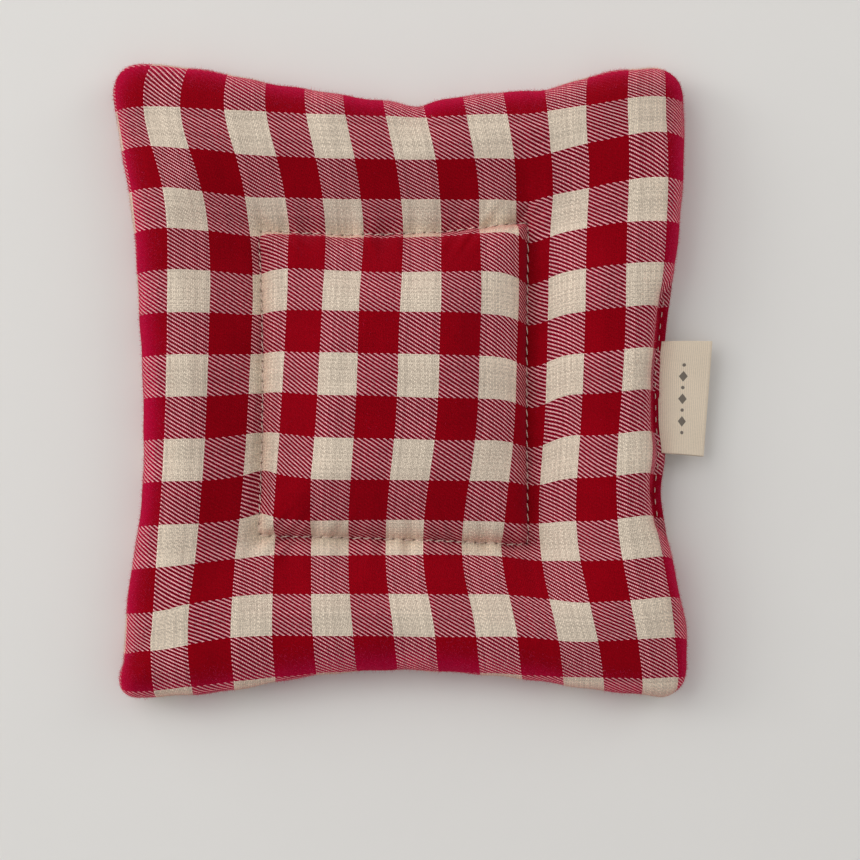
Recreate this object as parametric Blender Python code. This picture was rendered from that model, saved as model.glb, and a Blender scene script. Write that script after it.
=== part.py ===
# Fabric coaster: a filled pad of gingham flannel, sewn round its edge, turned, closed on its right
# side and quilted through with one stitched square, and a folded tape label sewn into that side.
# Units are metres. +X is right, +Y is away from the front and +Z is up. The origin is on the flat
# underside, below the middle of the pad.

import math
from collections import namedtuple

import bpy
import numpy as np

MM = 0.001

# Pad, measured over its rounded ears
PAD_HALF_WIDTH = 67.5 * MM
PAD_HALF_LENGTH = 74.3 * MM
EAR_RADIUS = 9.0 * MM
PAD_HEIGHT = 12.0 * MM
SEAM_HEIGHT = 5.0 * MM
RIM_ROLL = 13.5 * MM              # how far in from the edge the upper side comes level
RIM_FULLNESS = 2.5
UNDER_ROLL = 9.0 * MM             # how far in from the edge the underside comes down flat
CORNER_SOFTNESS = 4.0             # the lower, the rounder the shape between two sides
SMALLEST_DISTANCE = 0.001 * MM

# Closed turning gap on the right side, pressed flat and edge-stitched
LIP_WIDTH = 2.5 * MM
LIP_RISE = 1.2 * MM               # half its thickness
LIP_FROM = -36.0 * MM
LIP_TO = 20.5 * MM
LIP_FADE = 5.0 * MM
LIP_ROUNDING = 0.75 * MM          # how soon its edge reaches that thickness

# Quilted square, stitched down through the filling
CHANNEL_DEPTH = 6.6 * MM
CHANNEL_STEEP = 3.2 * MM          # reach of the steep walls beside the thread
CHANNEL_SOFT = 9.0 * MM           # reach of the soft slope beyond them
STEEP_SHARE = 0.7
THREAD_SOFTENING = 0.5 * MM
MIDDLE_SINK = 0.5 * MM            # the quilted middle lies this much lower than the ring
MIDDLE_REACH = 14.0 * MM
UNDER_GROOVE = 1.7 * MM
UNDER_GROOVE_REACH = 4.5 * MM

# Mesh steps
STEPS_PER_SIDE = 33
CORNER_CROWDING = 0.35
RIM_STEPS = (0.5, 1.4, 2.6, 3.4, 5.0, 7.6, 11.0)       # mm in from the edge, upper side
UNDER_RIM_STEPS = (0.8, 2.6, 5.5, 13.0)               # mm in from the edge, underside
CHANNEL_STEPS = (0.7, 1.6, 3.0, 5.2, 8.5)             # mm away from the thread, upper side
UNDER_STEPS = (1.8, 6.5)                              # mm away from the thread, underside
RING_MIDDLE = (0.34, 0.67)                            # shares of what is left between them
MIDDLE_RINGS = (0.74, 0.48, 0.22)                     # shares of the way out from the middle

# Label
LABEL_LAYER = 1.0 * MM
LABEL_GAP = 0.3 * MM              # between its two layers
LABEL_CLEARANCE = 0.35 * MM       # from its root to the pad
LABEL_TOP = 8.1 * MM              # Y of its upper corner at the root
LABEL_BOTTOM = -17.7 * MM         # Y of its lower corner at the root
LABEL_FOLD_TOP = (72.6 * MM, 8.3 * MM, 4.0 * MM)
LABEL_FOLD_BOTTOM = (70.3 * MM, -18.3 * MM, 3.4 * MM)
LABEL_SWELL = 0.4 * MM            # the upward bow between root and fold
LABEL_STATIONS = 12
LABEL_RUN_STEPS = 9
LABEL_FOLD_STEPS = 8

FLANNEL_RED = (0.45, 0.012, 0.035, 1.0)
TAPE_ECRU = (0.66, 0.60, 0.43, 1.0)

# Each side of the pad: how far its middle is drawn in, and how evenly (2 is a parabola)
SideDraw = namedtuple("SideDraw", "inward evenness")
SIDE_DRAWS = {
    "top": SideDraw(9.8 * MM, 1.4),
    "right": SideDraw(7.0 * MM, 2.0),
    "bottom": SideDraw(7.2 * MM, 1.5),
    "left": SideDraw(8.4 * MM, 2.0),
}

# Local dents in the edge: at runs from -1 to 1 along the side, towards +X or +Y
EdgeDent = namedtuple("EdgeDent", "side at depth width")
EDGE_DENTS = (
    EdgeDent("top", -0.65, -1.9 * MM, 0.25),
    EdgeDent("top", -0.28, -0.7 * MM, 0.14),
    EdgeDent("top", 0.07, 1.4 * MM, 0.06),
    EdgeDent("top", 0.50, 1.0 * MM, 0.10),
    EdgeDent("top", 0.74, -0.8 * MM, 0.12),
    EdgeDent("top", 0.98, 0.9 * MM, 0.12),
    EdgeDent("right", 1.0, 1.6 * MM, 0.12),
    EdgeDent("right", 0.57, -2.9 * MM, 0.30),
    EdgeDent("right", 0.15, -0.6 * MM, 0.12),
    EdgeDent("right", -0.36, 1.7 * MM, 0.17),
    EdgeDent("right", -0.76, -0.9 * MM, 0.10),
    EdgeDent("right", -1.0, 1.6 * MM, 0.12),
    EdgeDent("bottom", -0.58, -2.5 * MM, 0.22),
    EdgeDent("bottom", 0.66, -1.6 * MM, 0.17),
    EdgeDent("left", 0.75, -1.5 * MM, 0.28),
    EdgeDent("left", 0.25, -0.8 * MM, 0.22),
    EdgeDent("left", -0.40, 1.3 * MM, 0.25),
    EdgeDent("left", -1.0, 3.8 * MM, 0.25),
)
EDGE_SCALLOP = 0.16 * MM
EDGE_SCALLOP_PITCH = 10.5 * MM
EDGE_SCALLOP_DRIFT = 0.83         # how much slower the scallops come along Y than along X

# Corners of the quilted square, and how far the middle of each of its sides bows inwards
QUILT_CORNERS = {
    "top_left": (-32.4 * MM, 34.5 * MM),
    "top_right": (30.2 * MM, 36.5 * MM),
    "bottom_right": (29.8 * MM, -38.7 * MM),
    "bottom_left": (-31.9 * MM, -36.6 * MM),
}
QUILT_BOWS = {"top": 2.1 * MM, "right": 0.4 * MM, "bottom": 0.3 * MM, "left": 1.0 * MM}
QUILT_CORNER_RADIUS = 1.3 * MM

# Broad swells and hollows of the filling
Swell = namedtuple("Swell", "x y rise reach")
SWELLS = (
    Swell(41.0 * MM, 49.0 * MM, 0.7 * MM, 16.0 * MM),
    Swell(-48.0 * MM, 45.0 * MM, 0.4 * MM, 15.0 * MM),
    Swell(-48.0 * MM, -51.0 * MM, 0.5 * MM, 17.0 * MM),
    Swell(47.0 * MM, -53.0 * MM, 0.4 * MM, 15.0 * MM),
    Swell(46.0 * MM, 2.0 * MM, 0.5 * MM, 15.0 * MM),
    Swell(4.0 * MM, 53.0 * MM, -0.7 * MM, 11.5 * MM),
    Swell(1.0 * MM, -56.0 * MM, -0.5 * MM, 11.5 * MM),
    Swell(-46.0 * MM, -5.0 * MM, -0.3 * MM, 14.0 * MM),
    Swell(0.0 * MM, 0.0 * MM, 0.3 * MM, 19.0 * MM),
)

# Main creases, from their deep end to where they fade out; a negative depth is a ridge
Crease = namedtuple("Crease", "x y end_x end_y depth width")
CREASES = (
    Crease(30.0 * MM, 36.5 * MM, 26.6 * MM, 61.0 * MM, 1.3 * MM, 3.0 * MM),
    Crease(35.0 * MM, 36.5 * MM, 33.8 * MM, 61.5 * MM, -0.6 * MM, 2.8 * MM),
    Crease(5.8 * MM, 62.5 * MM, 11.5 * MM, 50.5 * MM, 1.2 * MM, 3.0 * MM),
    Crease(-32.0 * MM, 34.0 * MM, -32.3 * MM, 44.5 * MM, 1.0 * MM, 2.5 * MM),
    Crease(-12.7 * MM, 33.8 * MM, -13.8 * MM, 43.5 * MM, 0.6 * MM, 2.3 * MM),
    Crease(9.0 * MM, 33.0 * MM, 9.7 * MM, 43.5 * MM, 0.6 * MM, 2.3 * MM),
    Crease(-24.7 * MM, -37.5 * MM, -23.7 * MM, -66.5 * MM, 0.8 * MM, 2.8 * MM),
    Crease(11.2 * MM, -39.0 * MM, 11.6 * MM, -52.5 * MM, -0.6 * MM, 2.5 * MM),
    Crease(16.3 * MM, -39.5 * MM, 18.1 * MM, -61.0 * MM, 0.6 * MM, 2.6 * MM),
    Crease(-31.4 * MM, -37.0 * MM, -34.8 * MM, -49.5 * MM, 0.9 * MM, 2.7 * MM),
    Crease(29.6 * MM, -39.0 * MM, 34.5 * MM, -52.0 * MM, 0.9 * MM, 2.8 * MM),
    Crease(-0.7 * MM, -67.0 * MM, 0.6 * MM, -59.0 * MM, 0.8 * MM, 2.8 * MM),
)

# Gathers across the stitched line: pitch along it, height and reach to each side
Gathers = namedtuple("Gathers", "pitch rise reach")
QUILT_GATHERS = {
    "top": Gathers(8.2 * MM, 0.40 * MM, 5.7 * MM),
    "right": Gathers(11.9 * MM, 0.20 * MM, 4.3 * MM),
    "bottom": Gathers(7.6 * MM, 0.40 * MM, 5.7 * MM),
    "left": Gathers(10.9 * MM, 0.24 * MM, 4.3 * MM),
}
GATHER_WANDER = 0.9               # how unevenly the gathers are spaced, in radians
GATHER_DRIFT = 0.37               # how slowly that spacing changes, against the gathers

SIDE_NAMES = ("top", "right", "bottom", "left")


def clear_objects():
    """Remove every object of the open scene."""
    for item in list(bpy.data.objects):
        bpy.data.objects.remove(item, do_unlink=True)


def cloth_material(name, colour, roughness):
    """A matte Principled material of one colour."""
    material = bpy.data.materials.new(name)
    material.use_nodes = True
    shader = material.node_tree.nodes["Principled BSDF"]
    shader.inputs["Base Color"].default_value = colour
    shader.inputs["Roughness"].default_value = roughness
    shader.inputs["Metallic"].default_value = 0.0
    shader.inputs["Sheen Weight"].default_value = 0.4
    return material


def side_fractions():
    """Fractions along one side, crowded a little towards its two corners."""
    even = np.arange(STEPS_PER_SIDE) / STEPS_PER_SIDE
    return even - CORNER_CROWDING * np.sin(2.0 * math.pi * even) / (2.0 * math.pi)


def rounded_side(half_along, half_out, radius, fractions):
    """One side of a rounded rectangle, from the middle of one corner arc to that of the next.

    Returns the place along the side, the place outwards and the angle of the outward normal,
    measured from straight out towards the side's far end.
    """
    half_arc = radius * math.pi / 4.0
    straight = 2.0 * (half_along - radius)
    run = fractions * (2.0 * half_arc + straight)
    turn = np.clip(run - half_arc - straight, 0.0, None) / radius
    turn = turn - np.clip(half_arc - run, 0.0, None) / radius
    middle = np.clip(run - half_arc, 0.0, straight) - straight / 2.0
    along = middle + radius * np.sin(turn)
    out = half_out - radius + radius * np.cos(turn)
    return along, out, turn


def rounded_loop(half_x, half_y, radius):
    """A clockwise rounded rectangle that starts at its top left corner, with its normals."""
    points = []
    normals = []
    fractions = side_fractions()
    for index in range(4):
        sideways = index % 2 == 1
        half_along, half_out = (half_y, half_x) if sideways else (half_x, half_y)
        along, out, turn = rounded_side(half_along, half_out, radius, fractions)
        heading = math.pi / 2.0 - index * math.pi / 2.0
        outwards = np.array((math.cos(heading), math.sin(heading)))
        forwards = np.array((outwards[1], -outwards[0]))
        points.append(along[:, None] * forwards + out[:, None] * outwards)
        normals.append(np.sin(turn)[:, None] * forwards + np.cos(turn)[:, None] * outwards)
    return np.concatenate(points), np.concatenate(normals)


def side_inset(side, at):
    """How far in the edge lies at a place from -1 to 1 along a side: its draw and its dents."""
    draw = SIDE_DRAWS[side]
    inset = draw.inward * (1.0 - np.clip(np.abs(at), 0.0, 1.0) ** draw.evenness)
    for dent in EDGE_DENTS:
        if dent.side == side:
            inset = inset + dent.depth * np.exp(-((at - dent.at) / dent.width) ** 2)
    return inset


def edge_loop():
    """The pad's edge seen from above: a rounded rectangle, drawn in, dented and scalloped."""
    points, normals = rounded_loop(PAD_HALF_WIDTH, PAD_HALF_LENGTH, EAR_RADIUS)
    at_x = points[:, 0] / PAD_HALF_WIDTH
    at_y = points[:, 1] / PAD_HALF_LENGTH
    across = np.where(normals[:, 0] > 0.0, side_inset("right", at_y), side_inset("left", at_y))
    upwards = np.where(normals[:, 1] > 0.0, side_inset("top", at_x), side_inset("bottom", at_x))
    inset = across * normals[:, 0] ** 2 + upwards * normals[:, 1] ** 2
    phase = 2.0 * math.pi / EDGE_SCALLOP_PITCH
    scallop = np.sin(phase * points[:, 0]) * np.cos(EDGE_SCALLOP_DRIFT * phase * points[:, 1])
    inset = inset + EDGE_SCALLOP * scallop
    return points - normals * inset[:, None]


def quilt_loop():
    """The stitched square: its four corners joined by sides that bow in, with tight turns."""
    half_width = (QUILT_CORNERS["top_right"][0] - QUILT_CORNERS["top_left"][0]) / 2.0
    points, normals = rounded_loop(1.0, 1.0, QUILT_CORNER_RADIUS / half_width)
    right = (points[:, :1] + 1.0) / 2.0
    up = (points[:, 1:] + 1.0) / 2.0
    corner = {name: np.array(place) for name, place in QUILT_CORNERS.items()}
    upper = corner["top_left"] * (1.0 - right) + corner["top_right"] * right
    lower = corner["bottom_left"] * (1.0 - right) + corner["bottom_right"] * right
    square = lower * (1.0 - up) + upper * up
    bow_x = np.where(normals[:, 0] > 0.0, QUILT_BOWS["right"], QUILT_BOWS["left"])
    bow_y = np.where(normals[:, 1] > 0.0, QUILT_BOWS["top"], QUILT_BOWS["bottom"])
    bow_x = bow_x * normals[:, 0] ** 2 * (1.0 - points[:, 1] ** 2)
    bow_y = bow_y * normals[:, 1] ** 2 * (1.0 - points[:, 0] ** 2)
    return square - normals * (bow_x + bow_y)[:, None]


def distance_to_side(points, side):
    """The shortest distance in plan from each point to an open line."""
    start = side[None, :-1, :]
    step = side[None, 1:, :] - start
    offset = points[:, None, :] - start
    share = np.sum(offset * step, axis=2) / np.sum(step * step, axis=2)
    nearest = offset - np.clip(share, 0.0, 1.0)[:, :, None] * step
    return np.sqrt(np.min(np.sum(nearest * nearest, axis=2), axis=1))


def distance_to_loop(points, loop):
    """The distance in plan to a four-sided loop, softened where two of its sides are near."""
    total = np.zeros(len(points))
    for index in range(4):
        rows = np.arange(index * STEPS_PER_SIDE, (index + 1) * STEPS_PER_SIDE + 1) % len(loop)
        distance = np.clip(distance_to_side(points, loop[rows]), SMALLEST_DISTANCE, None)
        total = total + distance ** -CORNER_SOFTNESS
    return total ** (-1.0 / CORNER_SOFTNESS) - SMALLEST_DISTANCE


def ease(value):
    """A smooth step from 0 at 0 to 1 at 1."""
    held = np.clip(value, 0.0, 1.0)
    return held * held * (3.0 - 2.0 * held)


def lip_share(points):
    """1 along the closed turning gap, 0 elsewhere, with soft ends."""
    begins = ease((points[:, 1] - LIP_FROM) / LIP_FADE + 0.5)
    ends = ease((LIP_TO - points[:, 1]) / LIP_FADE + 0.5)
    return begins * ends * (points[:, 0] > 0.0)


def rim_rise(distance, roll):
    """Height share of a rolled rim: upright at the edge, level from the roll inwards."""
    inwards = np.clip(distance / roll, 0.0, 1.0)
    return np.sqrt(1.0 - (1.0 - inwards) ** RIM_FULLNESS)


def channel_drop(distance):
    """Depth beside the quilting thread: a steep soft V inside a broad soft slope."""
    rounded = np.sqrt(distance ** 2 + THREAD_SOFTENING ** 2) - THREAD_SOFTENING
    steep = STEEP_SHARE * np.exp(-rounded / CHANNEL_STEEP)
    soft = (1.0 - STEEP_SHARE) * np.exp(-((distance / CHANNEL_SOFT) ** 2))
    return CHANNEL_DEPTH * (steep + soft)


def swell_rise(points):
    """Sum of the broad swells and hollows."""
    total = np.zeros(len(points))
    for swell in SWELLS:
        gap = (points[:, 0] - swell.x) ** 2 + (points[:, 1] - swell.y) ** 2
        total = total + swell.rise * np.exp(-gap / swell.reach ** 2)
    return total


def crease_rise(points):
    """Sum of the soft creases, each deepest at its first end and gone past its second."""
    total = np.zeros(len(points))
    for crease in CREASES:
        start = np.array((crease.x, crease.y))
        run = np.array((crease.end_x, crease.end_y)) - start
        length = math.hypot(run[0], run[1])
        run = run / length
        offset = points - start
        along = offset @ run / length
        aside = offset @ np.array((-run[1], run[0]))
        fade = (1.0 - ease(along)) * ease(1.0 + along * length / crease.width)
        total = total - crease.depth * fade * np.exp(-((aside / crease.width) ** 2))
    return total


def gather_rise(points, distance):
    """Low ripples that run across the stitched line and fade to each side of it."""
    left, right = QUILT_CORNERS["top_left"][0], QUILT_CORNERS["top_right"][0]
    low, high = QUILT_CORNERS["bottom_left"][1], QUILT_CORNERS["top_right"][1]
    nearness = {
        "top": np.abs(points[:, 1] - high),
        "right": np.abs(points[:, 0] - right),
        "bottom": np.abs(points[:, 1] - low),
        "left": np.abs(points[:, 0] - left),
    }
    nearest = np.min(np.stack(list(nearness.values())), axis=0)
    total = np.zeros(len(points))
    for side in SIDE_NAMES:
        gathers = QUILT_GATHERS[side]
        along = points[:, 0] if side in ("top", "bottom") else points[:, 1]
        phase = 2.0 * math.pi * along / gathers.pitch
        ripple = np.cos(phase + GATHER_WANDER * np.sin(GATHER_DRIFT * phase))
        share = np.exp(-(((nearness[side] - nearest) / gathers.reach) ** 2))
        total = total + gathers.rise * ripple * share * np.exp(-distance / gathers.reach)
    return total


def upper_height(points, to_edge, to_quilt, inside):
    """Height of the upper side over the plan."""
    lip = lip_share(points)
    above_lip = LIP_RISE * lip * (1.0 - np.exp(-to_edge / LIP_ROUNDING))
    body = PAD_HEIGHT - SEAM_HEIGHT - LIP_RISE * lip
    rim = rim_rise(np.clip(to_edge - LIP_WIDTH * lip, 0.0, None), RIM_ROLL - LIP_WIDTH * lip)
    relief = crease_rise(points) + swell_rise(points) + gather_rise(points, to_quilt)
    relief = relief - channel_drop(to_quilt) - MIDDLE_SINK * inside * ease(to_quilt / MIDDLE_REACH)
    return SEAM_HEIGHT + above_lip + (body + relief) * rim


def under_height(points, to_edge, to_quilt):
    """Height of the underside: flat on the surface but for its rolled rim and its groove."""
    lip = lip_share(points)
    below_lip = LIP_RISE * lip * (1.0 - np.exp(-to_edge / LIP_ROUNDING))
    body = SEAM_HEIGHT - LIP_RISE * lip
    rim = rim_rise(np.clip(to_edge - LIP_WIDTH * lip, 0.0, None), UNDER_ROLL - LIP_WIDTH * lip)
    groove = UNDER_GROOVE * np.clip(1.0 - to_quilt / UNDER_GROOVE_REACH, 0.0, 1.0) ** 2
    resting = to_edge >= UNDER_ROLL
    height = SEAM_HEIGHT - below_lip - body * rim
    return np.where(resting, groove, height)


def plan_rings(edge, quilt, rim_steps, channel_steps, ring_shares, middle_shares):
    """Closed rings in plan from just inside the edge to the middle, each a list of points.

    Steps are measured along the straight spokes from the edge to the quilted square, and from
    the square on towards the middle of the pad.
    """
    spoke = quilt - edge
    length = np.linalg.norm(spoke, axis=1, keepdims=True)
    towards = spoke / length
    rim = rim_steps[-1] * MM
    last = channel_steps[-1] * MM
    rings = [edge + towards * step * MM for step in rim_steps]
    between = length - rim - last
    rings = rings + [edge + towards * (rim + between * share) for share in ring_shares]
    rings = rings + [quilt - towards * step * MM for step in reversed(channel_steps)]
    rings.append(quilt)
    reach = np.abs(quilt).max(axis=0)
    rings = rings + [quilt * (1.0 - step * MM / reach) for step in channel_steps]
    rings = rings + [quilt * (1.0 - last / reach) * share for share in middle_shares]
    return rings


def lifted(rings, edge, quilt, first_inside, under):
    """The plan rings with their heights, as one array of points in space."""
    levels = []
    for index, ring in enumerate(rings):
        to_edge = distance_to_loop(ring, edge)
        to_quilt = distance_to_loop(ring, quilt)
        if under:
            height = under_height(ring, to_edge, to_quilt)
        else:
            height = upper_height(ring, to_edge, to_quilt, float(index >= first_inside))
        levels.append(np.column_stack((ring, height)))
    return levels


def ring_faces(first, second, count):
    """Quads that join two rings of the same count, given where each one starts."""
    faces = []
    for step in range(count):
        following = (step + 1) % count
        faces.append((first + step, first + following, second + following, second + step))
    return faces


def build_pad(edge, quilt):
    """The filled pad: rings over the upper side, the seam, rings under it and two poles."""
    count = len(edge)
    upper_plan = plan_rings(edge, quilt, RIM_STEPS, CHANNEL_STEPS, RING_MIDDLE, MIDDLE_RINGS)
    under_plan = plan_rings(edge, quilt, UNDER_RIM_STEPS, UNDER_STEPS, (), ())
    first_inside = len(RIM_STEPS) + len(RING_MIDDLE) + len(CHANNEL_STEPS) + 1
    upper = lifted(upper_plan, edge, quilt, first_inside, False)
    under = lifted(under_plan, edge, quilt, first_inside, True)
    seam = np.column_stack((edge, np.full(count, SEAM_HEIGHT)))
    rings = upper[::-1] + [seam] + under
    middle = np.zeros((1, 2))
    quilt_gap = distance_to_loop(middle, quilt)
    top = upper_height(middle, distance_to_loop(middle, edge), quilt_gap, 1.0)
    vertices = np.concatenate(rings + [np.array(((0.0, 0.0, top[0]), (0.0, 0.0, 0.0)))])
    faces = []
    for index in range(len(rings) - 1):
        faces = faces + ring_faces(index * count, (index + 1) * count, count)
    upper_pole = len(vertices) - 2
    under_pole = len(vertices) - 1
    last = (len(rings) - 1) * count
    for step in range(count):
        following = (step + 1) % count
        faces.append((upper_pole, following, step))
        faces.append((under_pole, last + step, last + following))
    mesh = bpy.data.meshes.new("pad")
    mesh.from_pydata(vertices.tolist(), [], faces)
    return mesh


def label_section():
    """The folded tape in section: its middle line and the direction out of the fold.

    Along runs from 0 at the root to 1 at the fold, lift is the height over the middle plane,
    and the normal points away from the space between the layers.
    """
    radius = (LABEL_LAYER + LABEL_GAP) / 2.0
    run = np.linspace(0.0, 1.0, LABEL_RUN_STEPS)
    turn = np.linspace(0.0, math.pi, LABEL_FOLD_STEPS + 1)[1:-1]
    along = np.concatenate((run, np.ones(len(turn)), run[::-1]))
    beyond = np.concatenate((np.zeros(len(run)), np.sin(turn), np.zeros(len(run))))
    up = np.concatenate((np.ones(len(run)), np.cos(turn), -np.ones(len(run))))
    return along, beyond, up, radius


def label_surface(edge, reach):
    """One skin of the tape: the section carried along the seam, at a reach from its middle line."""
    along, beyond, up, radius = label_section()
    share = np.linspace(0.0, 1.0, LABEL_STATIONS)[:, None]
    root_y = LABEL_BOTTOM + (LABEL_TOP - LABEL_BOTTOM) * share
    right = edge[(edge[:, 0] > 0.0) & (np.abs(edge[:, 1]) < PAD_HALF_LENGTH / 2.0)]
    right = right[np.argsort(right[:, 1])]
    root_x = np.interp(root_y, right[:, 1], right[:, 0]) + LABEL_CLEARANCE
    root = np.stack((root_x, root_y, np.full_like(root_y, SEAM_HEIGHT)), axis=2)
    low = np.array(LABEL_FOLD_BOTTOM)
    high = np.array(LABEL_FOLD_TOP)
    inset = np.array((radius + LABEL_LAYER / 2.0, 0.0, 0.0))
    fold = low * (1.0 - share[:, :, None]) + high * share[:, :, None] - inset
    place = root * (1.0 - along[None, :, None]) + fold * along[None, :, None]
    place[:, :, 2] = place[:, :, 2] + LABEL_SWELL * np.sin(math.pi * along)[None, :]
    thickness = radius + reach
    place[:, :, 0] = place[:, :, 0] + thickness * beyond[None, :]
    place[:, :, 2] = place[:, :, 2] + thickness * up[None, :]
    return place


def build_label(edge):
    """The folded tape label: an outer and an inner skin, closed along their four borders."""
    outer = label_surface(edge, LABEL_LAYER / 2.0)
    inner = label_surface(edge, -LABEL_LAYER / 2.0)
    stations, steps = outer.shape[:2]
    vertices = np.concatenate((outer.reshape(-1, 3), inner.reshape(-1, 3)))
    shift = stations * steps
    faces = []
    for row in range(stations - 1):
        for step in range(steps - 1):
            corner = row * steps + step
            beside = corner + 1
            above = corner + steps
            faces.append((corner, beside, above + 1, above))
            faces.append((shift + corner, shift + above, shift + above + 1, shift + beside))
    for row in range(stations - 1):
        for step, flip in ((0, False), (steps - 1, True)):
            corner = row * steps + step
            above = corner + steps
            border = (corner, above, shift + above, shift + corner)
            faces.append(border[::-1] if flip else border)
    for step in range(steps - 1):
        for row, flip in ((0, True), (stations - 1, False)):
            corner = row * steps + step
            border = (corner, corner + 1, shift + corner + 1, shift + corner)
            faces.append(border[::-1] if flip else border)
    mesh = bpy.data.meshes.new("label")
    mesh.from_pydata(vertices.tolist(), [], faces)
    return mesh


def add_piece(name, mesh, material):
    """Put a mesh into the scene as a named, smooth-shaded object."""
    mesh.materials.append(material)
    mesh.shade_smooth()
    piece = bpy.data.objects.new(name, mesh)
    bpy.context.scene.collection.objects.link(piece)
    return piece


def main():
    clear_objects()
    edge = edge_loop()
    quilt = quilt_loop()
    flannel = cloth_material("gingham_flannel", FLANNEL_RED, 0.95)
    tape = cloth_material("cotton_tape", TAPE_ECRU, 0.9)
    add_piece("pad", build_pad(edge, quilt), flannel)
    add_piece("label", build_label(edge), tape)


main()
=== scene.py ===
# Looks of a padded gingham coaster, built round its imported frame.
# Sizes in the dictionaries are millimetres. +X is right, +Y is away from the front, +Z is up.
import math

import bpy
import numpy as np
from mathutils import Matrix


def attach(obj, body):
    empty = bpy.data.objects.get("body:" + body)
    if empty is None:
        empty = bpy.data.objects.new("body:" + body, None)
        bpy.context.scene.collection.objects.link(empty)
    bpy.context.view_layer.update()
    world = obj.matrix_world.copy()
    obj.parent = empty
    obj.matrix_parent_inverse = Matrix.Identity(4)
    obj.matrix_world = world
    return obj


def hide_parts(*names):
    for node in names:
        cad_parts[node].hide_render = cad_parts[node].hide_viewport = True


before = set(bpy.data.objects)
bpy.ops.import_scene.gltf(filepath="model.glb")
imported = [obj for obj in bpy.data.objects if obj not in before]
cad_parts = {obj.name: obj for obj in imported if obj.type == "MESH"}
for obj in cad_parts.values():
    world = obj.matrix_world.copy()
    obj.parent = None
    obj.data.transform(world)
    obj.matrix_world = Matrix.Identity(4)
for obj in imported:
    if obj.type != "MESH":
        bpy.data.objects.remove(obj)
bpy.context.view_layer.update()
mm = 0.001
print("frame loaded, nodes:", sorted(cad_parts))


# Meshes

def quadGrid(rows, columns):
    # one quad for every cell of a rows x columns grid whose last column joins the first
    row, column = np.meshgrid(np.arange(rows - 1), np.arange(columns), indexing="ij")
    beside = (column + 1) % columns
    cells = (row * columns + column, row * columns + beside,
             (row + 1) * columns + beside, (row + 1) * columns + column)
    return np.stack(cells, axis=-1).reshape(-1, 4)


def fan(pole, ring):
    # triangles from one pole to each step of a closed ring
    return np.column_stack((np.full(len(ring), pole), ring, np.roll(ring, -1)))


def makePiece(name, points, quads, triangles=np.zeros((0, 3), int), cloth=None, marks=None):
    # points in millimetres, cloth one (u, v) in millimetres a point, marks named values a point
    corners = np.concatenate((quads.ravel(), triangles.ravel())).astype(np.int32)
    sizes = np.concatenate((np.full(len(quads), 4), np.full(len(triangles), 3)))
    starts = np.concatenate(((0,), np.cumsum(sizes)[:-1])).astype(np.int32)
    mesh = bpy.data.meshes.new(name)
    mesh.vertices.add(len(points))
    mesh.vertices.foreach_set("co", (points * mm).astype(np.float32).ravel())
    mesh.loops.add(len(corners))
    mesh.loops.foreach_set("vertex_index", corners)
    mesh.polygons.add(len(sizes))
    mesh.polygons.foreach_set("loop_start", starts)
    mesh.update(calc_edges=True)
    if cloth is not None:
        layer = mesh.uv_layers.new(name="cloth")
        layer.data.foreach_set("uv", (cloth * mm).astype(np.float32)[corners].ravel())
    for title, values in (marks or {}).items():
        mark = mesh.attributes.new(title, "FLOAT", "POINT")
        mark.data.foreach_set("value", values.astype(np.float32).ravel())
    mesh.validate()
    mesh.shade_smooth()
    piece = bpy.data.objects.new(name, mesh)
    bpy.context.scene.collection.objects.link(piece)
    return piece


# Pad: a filled square of two flannel panels

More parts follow.
